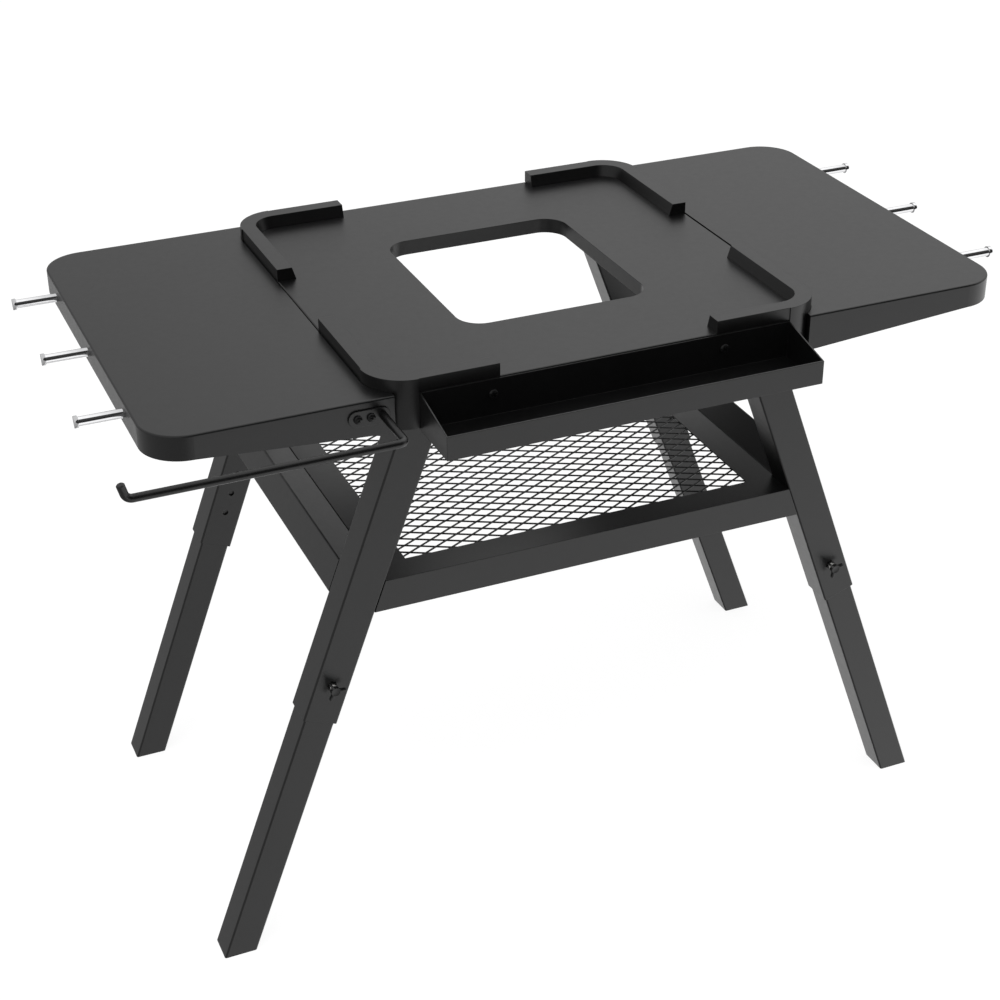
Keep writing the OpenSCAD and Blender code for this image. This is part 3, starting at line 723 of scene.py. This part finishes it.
@dataclass
class Dresser:
    """Keeps the finishes and puts them on nodes and new pieces."""

    nodes: dict[str, bpy.types.Object]
    finishes: dict[Slot, bpy.types.Material] = field(default_factory=dict)

    def paint(self, names: Iterable[str], material: bpy.types.Material) -> None:
        """Gives nodes a material.

        Args:
            names: The nodes' names.
            material: The material.
        """
        for name in names:
            for slot in self.nodes[name].material_slots:
                slot.material = material

    def dress(
        self, piece: bpy.types.Object, slot: Slot, body: str, replaced: Sequence[str] = ()
    ) -> None:
        """Finishes a new piece: gives it its slot's finish, hangs it on its body and hides the
        nodes that it replaces.

        Args:
            piece: The piece.
            slot: The record's slot that it takes its finish from.
            body: The body that it rides on.
            replaced: The nodes that it replaces.
        """
        piece.data.materials.clear()
        piece.data.materials.append(self.finishes[slot])
        for face in piece.data.polygons:
            face.material_index = 0
        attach(piece, body)
        if replaced:
            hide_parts(*replaced)
        LOG.info("%s: %d faces on %s", piece.name, len(piece.data.polygons), body)


# Sub-assemblies


@dataclass
class DeckTop:
    """The deck's top face, with the marks of the spot welds beside the corner guards."""

    # Millimetres from the deck's middle, to the side and to the front or rear
    mark_offsets: Pairs = ((112.4, 205.7), (203.3, 208.6), (229.4, 179.3))

    def dress(self, dresser: Dresser) -> None:
        """Gives the deck its own coat, with the marks.

        Args:
            dresser: Keeps the nodes.
        """
        centre = middle("deck")
        places = tuple(
            (centre.x + side.value * x * MM, centre.y + end.value * y * MM)
            for side in Side
            for end in End
            for x, y in self.mark_offsets
        )
        coat = PowderCoat(name="deck_powder_coat", mark_places=places).build()
        dresser.paint(["deck"], coat)
        LOG.info("deck: %d spot-weld marks", len(places))


@dataclass
class HangingPegs:
    """Turned chrome pegs on the side shelves' outer edges."""

    diameter: float = 10 * MM
    head_diameter: float = 13 * MM
    head_length: float = 4.5 * MM
    chamfer: float = 0.7 * MM
    undercut_radius: float = 4.3 * MM
    undercut_length: float = 0.9 * MM
    pitch: float = 155 * MM
    sides: int = 48
    # Height above the undercut and distance outside the shaft
    foot_steps: Pairs = ((0.05 * MM, -0.3 * MM), (0.4 * MM, 0.0))
    # Height above the head's lower face and distance outside the shaft
    neck_steps: Pairs = ((-0.5 * MM, 0.0), (-0.1 * MM, 0.15 * MM), (0.0, 0.5 * MM))
    head_face: float = 0.02 * MM
    # Depth below the head's end and distance inside its rim, in chamfers
    end_steps: Pairs = ((1.0, 0.0), (0.3, 0.35), (0.0, 1.1))

    def peg(self, length: float) -> bpy.types.Object:
        """One peg from z = 0 up.

        Args:
            length: Its length with the head.

        Returns:
            The peg.
        """
        shaft, head = self.diameter / 2, self.head_diameter / 2
        under_head = length - self.head_length
        made = Bench.cylinder("peg", self.undercut_radius, self.undercut_length, self.sides)
        Bench.turn_profile(
            made,
            [
                *((self.undercut_length + up, shaft + out) for up, out in self.foot_steps),
                *((under_head + up, shaft + out) for up, out in self.neck_steps),
                (under_head + self.head_face, head - self.chamfer / 2),
                (under_head + self.chamfer / 2, head),
                *(
                    (length - self.chamfer * down, head - self.chamfer * inside)
                    for down, inside in self.end_steps
                ),
            ],
        )
        Bench.make_outward(made)
        return made

    def build(self, dresser: Dresser) -> None:
        """Models the pegs of both shelves and dresses them.

        Args:
            dresser: Dresses the finished pieces.
        """
        for side in Side:
            node = f"pegs_{side.name.lower()}"
            low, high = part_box(node)
            root_x = high[0] if side is Side.LEFT else low[0]
            centre = middle(node)
            places = [
                Matrix.Translation((root_x, centre.y + row * self.pitch, centre.z))
                @ Matrix.Rotation(side.value * math.pi / 2, 4, "Y")
                for row in (-1, 0, 1)
            ]
            made = Bench.copies(self.peg(high[0] - low[0]), places, f"turned_{node}")
            Bench.smooth(made)
            dresser.dress(made, Slot.CHROME, "root", [node])


@dataclass(frozen=True)
class ScrewPair:
    """Two like screws side by side, which share a node."""

    node: str
    head_radius: float
    head_height: float
    shank_radius: float
    first_turn: float


@dataclass
class DomedScrews:
    """Domed cross-head screws, seen in the tray and on the towel rod's bracket."""

    pairs: tuple[ScrewPair, ...] = (
        ScrewPair("tray_screws", 5.4 * MM, 3.2 * MM, 3.0 * MM, 20.0),
        ScrewPair("towel_screws", 4.5 * MM, 3.2 * MM, 2.5 * MM, 45.0),
    )
    turn_step: float = 25.0
    sides: int = 32
    # The cross: half its blades' width in head radii, their length over their width, and the
    # height of its floor in head heights
    blade_share: float = 0.13
    blade_stretch: float = 4.2
    blade_sides: int = 12
    floor_share: float = 0.42
    # The dome, in shares of the head's height and radius
    steps: Pairs = (
        (0.002, 0.94),
        (0.1, 0.985),
        (0.22, 1.0),
        (0.42, 0.985),
        (0.62, 0.9),
        (0.8, 0.75),
        (0.92, 0.55),
        (0.98, 0.32),
        (1.0, 0.12),
    )

    def screw(self, pair: ScrewPair, length: float) -> bpy.types.Object:
        """One screw: its shank runs down from z = 0 and its domed head, with the cross, stands up.

        Args:
            pair: The pair that it belongs to.
            length: The shank's length.

        Returns:
            The screw.
        """
        radius, height = pair.head_radius, pair.head_height
        made = Bench.cylinder("screw", pair.shank_radius, length, self.sides)
        Bench.turn_profile(made, [(length + height * z, radius * r) for z, r in self.steps])
        made.data.transform(Matrix.Translation((0.0, 0.0, -length)))
        Bench.make_outward(made)
        blade = Bench.cylinder("blade", radius * self.blade_share, height, self.blade_sides)
        Bench.pick(blade, lambda face: True)
        Bench.grow((self.blade_stretch, 1.0, 1.0), (0.0, 0.0, 0.0))
        bpy.ops.transform.translate(value=(0.0, 0.0, height * self.floor_share))
        bpy.ops.object.mode_set(mode="OBJECT")
        other = blade.copy()
        other.data = blade.data.copy()
        other.data.transform(Matrix.Rotation(math.pi / 2, 4, "Z"))
        bpy.context.scene.collection.objects.link(other)
        Bench.cut(made, blade)
        Bench.cut(made, other)
        return made

    def build(self, dresser: Dresser) -> None:
        """Models the screws at their nodes' places and dresses them.

        Args:
            dresser: Dresses the finished pieces.
        """
        for pair in self.pairs:
            low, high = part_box(pair.node)
            seat_y = low[1] + pair.head_height
            spots = (low[0] + pair.head_radius, high[0] - pair.head_radius)
            places = [
                Matrix.Translation((x, seat_y, (low[2] + high[2]) / 2))
                @ Matrix.Rotation(math.pi / 2, 4, "X")
                @ Matrix.Rotation(math.radians(pair.first_turn + self.turn_step * number), 4, "Z")
                for number, x in enumerate(spots)
            ]
            made = Bench.copies(self.screw(pair, high[1] - seat_y), places, f"domed_{pair.node}")
            Bench.smooth(made)
            dresser.dress(made, Slot.HARDWARE, "root", [pair.node])


@dataclass
class ExpandedMesh:
    """The lower shelf's expanded steel, with its strands welded to a narrow rim."""

    cell_length: float = 30.6 * MM
    cell_width: float = 16.04 * MM
    strand: float = 1.7 * MM
    thickness: float = 1.3 * MM
    rim: float = 6.0 * MM
    # Where a crossing of strands lies, from the node's middle
    first_crossing: Pair = (14.4 * MM, -0.5 * MM)
    # Rows laid out past the edges before the lattice is trimmed
    spare_cells: int = 4

    def trim(self, held: bpy.types.Object, low: Vector, high: Vector) -> None:
        """Cuts the lattice square on its four sides.

        Args:
            held: The lattice.
            low: The lowest corner.
            high: The highest corner.
        """
        for point, away in (
            (low, (-1, 0, 0)),
            (high, (1, 0, 0)),
            (low, (0, -1, 0)),
            (high, (0, 1, 0)),
        ):
            Bench.take(held)
            bpy.ops.object.mode_set(mode="EDIT")
            bpy.ops.mesh.select_all(action="SELECT")
            bpy.ops.mesh.bisect(plane_co=tuple(point), plane_no=away, clear_outer=True)
            bpy.ops.object.mode_set(mode="OBJECT")

    def build(self, dresser: Dresser) -> None:
        """Models the mesh in the place of its node and dresses it.

        Args:
            dresser: Dresses the finished piece.
        """
        low, high = (Vector(corner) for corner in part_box("shelf_mesh"))
        centre = (low + high) / 2
        rim = Vector((self.rim, self.rim, 0))
        inner_low, inner_high = low + rim, high - rim
        reach = (high - low).x / self.cell_length + (high - low).y / self.cell_width
        cells = 2 * math.ceil(reach / 2) + self.spare_cells
        Bench.clear()
        bpy.ops.mesh.primitive_grid_add(x_subdivisions=cells, y_subdivisions=cells, size=cells)
        lattice = bpy.context.object
        lattice.name = "expanded_mesh"
        root = math.sqrt(2)
        squeeze = Matrix.Diagonal((self.cell_length / root, self.cell_width / root, 1.0, 1.0))
        along, across = self.first_crossing
        start = Matrix.Translation((centre.x + along, centre.y + across, high.z))
        lattice.data.transform(start @ squeeze @ Matrix.Rotation(math.pi / 4, 4, "Z"))
        self.trim(lattice, inner_low, inner_high)
        Bench.pick(lattice, lambda face: True)
        bpy.ops.mesh.inset(thickness=self.strand / 2, use_individual=True, use_boundary=True)
        bpy.ops.mesh.delete(type="FACE")
        self.add_rim(lattice, inner_low, inner_high)
        Bench.modify(lattice, "SOLIDIFY", thickness=self.thickness, offset=-1.0)
        Bench.make_outward(lattice)
        dresser.dress(lattice, Slot.MESH, "root", ["shelf_mesh"])

    def add_rim(self, held: bpy.types.Object, low: Vector, high: Vector) -> None:
        """Draws the lattice's outer edges out to the node's own edges.

        Args:
            held: The flat lattice, in edit mode.
            low: The lattice's lowest corner.
            high: The lattice's highest corner.
        """
        for axis, limit, way in ((0, low.x, -1), (0, high.x, 1), (1, low.y, -1), (1, high.y, 1)):
            Bench.take(held)
            bpy.ops.object.mode_set(mode="EDIT")
            bpy.ops.mesh.select_mode(type="EDGE")
            bpy.ops.mesh.select_all(action="DESELECT")
            bpy.ops.object.mode_set(mode="OBJECT")
            corners = held.data.vertices
            for edge in held.data.edges:
                edge.select = all(
                    abs(corners[index].co[axis] - limit) < SAME_PLACE for index in edge.vertices
                )
            bpy.ops.object.mode_set(mode="EDIT")
            move = [0.0, 0.0, 0.0]
            move[axis] = way * self.rim
            bpy.ops.mesh.extrude_region_move(TRANSFORM_OT_translate={"value": move})
            bpy.ops.object.mode_set(mode="OBJECT")


# How far the first lobe of each knob is turned on its screw, in degrees
FIRST_LOBES = {
    (End.FRONT, Side.LEFT): 18.0,
    (End.FRONT, Side.RIGHT): 115.0,
    (End.REAR, Side.LEFT): 44.0,
    (End.REAR, Side.RIGHT): 80.0,
}


@dataclass
class ThumbScrews:
    """Three-lobed knobs on the clamping screws of the legs, each with a bare collar behind."""

    hub_radius: float = 5.2 * MM
    collar_radius: float = 4.1 * MM
    collar_chamfer: float = 0.4 * MM
    reach: float = 12.0 * MM
    thickness: float = 5 * MM
    edge_round: float = 0.45 * MM
    edge_angle: float = 38.0
    dish_share: float = 0.22
    dish_depth: float = 0.25 * MM
    # Height of the disc that the collar is drawn from, and how far it reaches into the knob
    collar_start: float = 0.05 * MM
    collar_overlap: float = 0.1 * MM
    leg_tilt: float = 20.54
    lobes: int = 3
    lobe_half_angle: float = 20.0
    smooth_angle: float = 40.0
    sides: int = 24
    # Each step's share of the lobe's length, and its growth in width and in thickness
    arm_steps: tuple[tuple[float, float, float], ...] = (
        (0.28, 0.88, 0.96),
        (0.42, 0.99, 0.97),
        (0.16, 0.86, 0.97),
        (0.14, 0.6, 0.92),
    )

    def add_lobe(self, held: bpy.types.Object) -> None:
        """Draws one lobe out of the hub's side along x: in at its neck, then round at its end.

        Args:
            held: The knob.
        """
        near = math.cos(math.radians(self.lobe_half_angle))
        Bench.pick(held, lambda face: abs(face.normal.z) < FACES_SIDEWAYS and face.normal.x > near)
        gone = self.hub_radius
        for share, width, height in self.arm_steps:
            step = (self.reach - self.hub_radius) * share
            gone += step
            Bench.draw_out((step, 0.0, 0.0))
            Bench.grow((1.0, width, height), (gone, 0.0, self.thickness / 2))
        bpy.ops.object.mode_set(mode="OBJECT")

    def knob(self, first: float) -> bpy.types.Object:
        """One knob from z = 0 up, outwards.

        Args:
            first: Where its first lobe points, in degrees.

        Returns:
            The knob.
        """
        made = Bench.cylinder("knob", self.hub_radius, self.thickness, self.sides)
        for _ in range(self.lobes):
            self.add_lobe(made)
            made.data.transform(Matrix.Rotation(math.tau / self.lobes, 4, "Z"))
        Bench.pick(made, lambda face: face.normal.z > FACES_UP and len(face.vertices) == self.sides)
        bpy.ops.mesh.inset(thickness=self.hub_radius * self.dish_share)
        Bench.draw_out((0.0, 0.0, -self.dish_depth))
        bpy.ops.object.mode_set(mode="OBJECT")
        Bench.make_outward(made)
        Bench.modify(
            made,
            "BEVEL",
            width=self.edge_round,
            segments=2,
            limit_method="ANGLE",
            angle_limit=math.radians(self.edge_angle),
        )
        made.data.transform(Matrix.Rotation(math.radians(first), 4, "Z"))
        return made

    def collar(self, length: float) -> bpy.types.Object:
        """The turned steel collar behind a knob, from z = 0 up.

        Args:
            length: Its length.

        Returns:
            The collar.
        """
        start = self.collar_radius - self.collar_chamfer
        made = Bench.cylinder("collar", start, self.collar_start, self.sides)
        Bench.turn_profile(
            made,
            [
                (self.collar_chamfer, self.collar_radius),
                (length - self.collar_chamfer, self.collar_radius),
                (length, start),
            ],
        )
        Bench.make_outward(made)
        return made

    def build(self, dresser: Dresser) -> None:
        """Models the four knobs and their collars and dresses them.

        Args:
            dresser: Dresses the finished pieces.
        """
        for end in End:
            for side in Side:
                corner = f"{end.name.lower()}_{side.name.lower()}"
                axis = middle(f"clamp_stud_{corner}")
                low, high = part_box(f"clamp_knob_{corner}")
                gap = high[1] - low[1] - self.thickness
                seat_y = high[1] if end is End.FRONT else low[1]
                place = (
                    Matrix.Translation((axis.x, seat_y, axis.z))
                    @ Matrix.Rotation(-side.value * math.radians(self.leg_tilt), 4, "Y")
                    @ Matrix.Rotation(-end.value * math.pi / 2, 4, "X")
                )
                outward = place @ Matrix.Translation((0.0, 0.0, gap))
                knob = self.knob(FIRST_LOBES[end, side])
                made = Bench.copies(knob, [outward], f"lobed_knob_{corner}")
                Bench.smooth(made, self.smooth_angle)
                dresser.dress(made, Slot.PLASTIC, f"clamp_{corner}", [f"clamp_knob_{corner}"])
                collar = self.collar(gap + self.collar_overlap)
                collar = Bench.copies(collar, [place], f"knob_collar_{corner}")
                Bench.smooth(collar)
                dresser.dress(collar, Slot.ZINC, f"clamp_{corner}")


# Studio


@dataclass(frozen=True)
class MirroredRoom:
    """The room that shiny surfaces mirror: how bright it is each way, where x is to the right.

    Each range is a span of one part of a direction, over which a level changes.
    """

    dark_way: tuple[float, float, float] = (0.465, -0.8, 0.38)
    dark_half_angle: Pair = (37.0, 42.0)
    dark_level: float = 0.045
    # How much the far end counts as right, below the horizon
    split_turn: float = 0.15
    below_left: float = 0.385
    below_right: float = 1.1
    below_range: Pair = (-0.1, 0.045)
    far_right_gain: float = 0.12
    far_right_range: Pair = (0.06, 0.4)
    far_end_factor: float = 1.15
    far_end_range: Pair = (0.2, 0.8)
    underneath_factor: float = 0.65
    underneath_range: Pair = (-0.95, -0.7)
    horizon: float = 0.49
    horizon_left_factor: float = 0.88
    horizon_range: Pair = (-0.1, 0.4)
    overhead: float = 1.2
    overhead_angle: Pair = (10.0, 35.0)
    overhead_left_factor: float = 0.3
    overhead_range: Pair = (0.08, 0.42)
    wall_range: Pair = (-0.25, 0.0)

    def level(self, board: NodeBoard, way: Shade) -> Shade:
        """How bright the room is in a direction.

        Args:
            board: The board to draw on.
            way: The direction.

        Returns:
            The level, where 1 is white.
        """
        split = board.node("ShaderNodeSeparateXYZ", None, {0: way})
        across, away, up = (board.out(split, axis) for axis in range(3))
        dark_way = tuple(Vector(self.dark_way).normalized())
        facing = board.node(
            "ShaderNodeVectorMath", {"operation": "DOT_PRODUCT"}, {0: way, 1: dark_way}
        )
        inner, outer = (math.cos(math.radians(angle)) for angle in self.dark_half_angle)
        dark = board.out(facing, "Value").ramp(outer, inner, 1.0, self.dark_level)
        turned = across + away * self.split_turn
        below = turned.ramp(*self.below_range, self.below_left, self.below_right)
        below = below + turned.ramp(*self.far_right_range, 0.0, self.far_right_gain)
        below = below * away.ramp(*self.far_end_range, 1.0, self.far_end_factor)
        below = below * up.ramp(*self.underneath_range, self.underneath_factor, 1.0)
        low, high = (math.sin(math.radians(angle)) for angle in self.overhead_angle)
        rise = up.ramp(low, high, 0.0, self.overhead - self.horizon)
        rise = rise * across.ramp(*self.overhead_range, self.overhead_left_factor, 1.0)
        left = self.horizon * self.horizon_left_factor
        above = across.ramp(*self.horizon_range, left, self.horizon) + rise
        return dark * (below + (above - below) * up.ramp(*self.wall_range))


@dataclass
class Studio:
    """A pale floor, soft light and the camera."""

    room: MirroredRoom = MirroredRoom()
    camera_place: tuple[float, float, float] = (-0.8119, -1.8316, 1.5343)
    camera_way: tuple[float, float, float] = (0.33995, 0.80080, -0.49310)
    camera_roll: float = -0.417
    lens: float = 69.7
    sensor_width: float = 36.0
    clip_end: float = 100.0
    floor_size: float = 30.0
    floor_tone: float = 0.88
    floor_glow: float = 1.12
    glow_share: float = 0.8
    open_light: float = 0.72
    lamp_place: tuple[float, float, float] = (-1.2, -1.4, 3.2)
    lamp_target: tuple[float, float, float] = (0.0, 0.0, 0.4)
    lamp_size: float = 3.0
    lamp_power: float = 62.0

    def background_ray(self, board: NodeBoard) -> tuple[Shade, Shade]:
        """Masks of the rays that see the background.

        Args:
            board: The board to draw on.

        Returns:
            Camera or see-through rays, and glossy rays.
        """
        path = board.node("ShaderNodeLightPath")
        seen = board.out(path, "Is Camera Ray").highest(board.out(path, "Is Transmission Ray"))
        return seen, board.out(path, "Is Glossy Ray")

    def world(self) -> None:
        """A white surround, an even light on matt surfaces, and the room in reflections."""
        world = bpy.data.worlds.new("studio")
        bpy.context.scene.world = world
        world.use_nodes = True
        board = NodeBoard(world.node_tree)
        seen, glossy = self.background_ray(board)
        way = board.out(board.node("ShaderNodeTexCoord"), "Generated")
        mirrored = glossy * self.room.level(board, way) + (1.0 - glossy) * self.open_light
        level = seen + (1.0 - seen) * mirrored
        light = board.node(
            "ShaderNodeBackground", None, {"Color": (1.0, 1.0, 1.0, 1.0), "Strength": level}
        )
        board.node("ShaderNodeOutputWorld", None, {"Surface": board.out(light, 0)})

    def floor(self) -> None:
        """A pale floor that looks white and keeps a faint shadow, and that nothing mirrors."""
        Bench.clear()
        bpy.ops.mesh.primitive_plane_add(size=self.floor_size)
        floor = bpy.context.object
        floor.name = "studio_floor"
        material, board = new_board("pale_floor")
        seen, _ = self.background_ray(board)
        tone = (*(self.floor_tone,) * 3, 1.0)
        matte = board.node("ShaderNodeBsdfDiffuse", None, {"Color": tone})
        glow = board.node("ShaderNodeEmission", None, {"Strength": self.floor_glow})
        mixed = board.node(
            "ShaderNodeMixShader",
            None,
            {0: seen * self.glow_share, 1: board.out(matte, 0), 2: board.out(glow, 0)},
        )
        board.node("ShaderNodeOutputMaterial", None, {"Surface": board.out(mixed, 0)})
        floor.data.materials.append(material)
        floor.visible_glossy = False

    def lamps(self) -> None:
        """One wide soft lamp overhead, left of the camera."""
        lamp = bpy.data.lights.new("soft_box", "AREA")
        lamp.shape = "SQUARE"
        lamp.size = self.lamp_size
        lamp.energy = self.lamp_power
        holder = bpy.data.objects.new("soft_box", lamp)
        bpy.context.scene.collection.objects.link(holder)
        holder.location = self.lamp_place
        way = Vector(self.lamp_target) - holder.location
        holder.rotation_euler = way.to_track_quat("-Z", "Y").to_euler()
        holder.visible_glossy = False

    def camera(self) -> None:
        """The camera at the photograph's viewing angle."""
        view = bpy.data.cameras.new("camera")
        view.lens = self.lens
        view.sensor_width = self.sensor_width
        view.clip_end = self.clip_end
        holder = bpy.data.objects.new("camera", view)
        bpy.context.scene.collection.objects.link(holder)
        way = Vector(self.camera_way).normalized()
        right = way.cross(Vector((0, 0, 1))).normalized()
        up = right.cross(way)
        roll = math.radians(self.camera_roll)
        turned_right = right * math.cos(roll) + up * math.sin(roll)
        turned_up = up * math.cos(roll) - right * math.sin(roll)
        axes = Matrix((turned_right, turned_up, -way)).transposed().to_4x4()
        holder.matrix_world = Matrix.Translation(self.camera_place) @ axes
        bpy.context.scene.camera = holder

    def build(self) -> None:
        """Sets up the whole studio."""
        bpy.context.scene.view_settings.view_transform = "Standard"
        self.world()
        self.floor()
        self.lamps()
        self.camera()


def make_finishes() -> dict[Slot, bpy.types.Material]:
    """Builds one material for each slot of the record.

    Returns:
        The materials by slot.
    """
    return {
        Slot.COAT: PowderCoat().build(),
        Slot.MESH: DippedMesh().build(),
        Slot.HARDWARE: BlackenedScrew().build(),
        Slot.CHROME: BrightMetal(
            name="turned_chrome",
            base=(0.8, 0.8, 0.81),
            lighter=(0.86, 0.86, 0.87),
            roughness=0.07,
            roughness_swing=0.04,
            lines_per_metre=5200.0,
        ).build(),
        Slot.ZINC: BrightMetal(
            name="dull_zinc_plate",
            base=(0.62, 0.62, 0.61),
            lighter=(0.74, 0.73, 0.71),
            roughness=0.42,
            roughness_swing=0.2,
            metallic=0.35,
        ).build(),
        Slot.SPRING: BrightMetal(
            name="spring_steel",
            base=(0.32, 0.33, 0.36),
            lighter=(0.42, 0.42, 0.43),
            roughness=0.3,
            roughness_swing=0.16,
        ).build(),
        Slot.PLASTIC: MouldedPlastic().build(),
    }


def main() -> None:
    """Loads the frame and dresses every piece."""
    logging.basicConfig(level=logging.INFO, format="%(name)s: %(message)s")
    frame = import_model()
    dresser = Dresser(frame["nodes"], make_finishes())
    for name, held in frame["nodes"].items():
        slot = Slot(held.material_slots[0].material.name)
        dresser.paint([name], dresser.finishes[slot])
    LOG.info("%d nodes painted", len(frame["nodes"]))
    Studio().build()
    DeckTop().dress(dresser)
    HangingPegs().build(dresser)
    DomedScrews().build(dresser)
    ExpandedMesh().build(dresser)
    ThumbScrews().build(dresser)


if __name__ == "__main__":
    main()
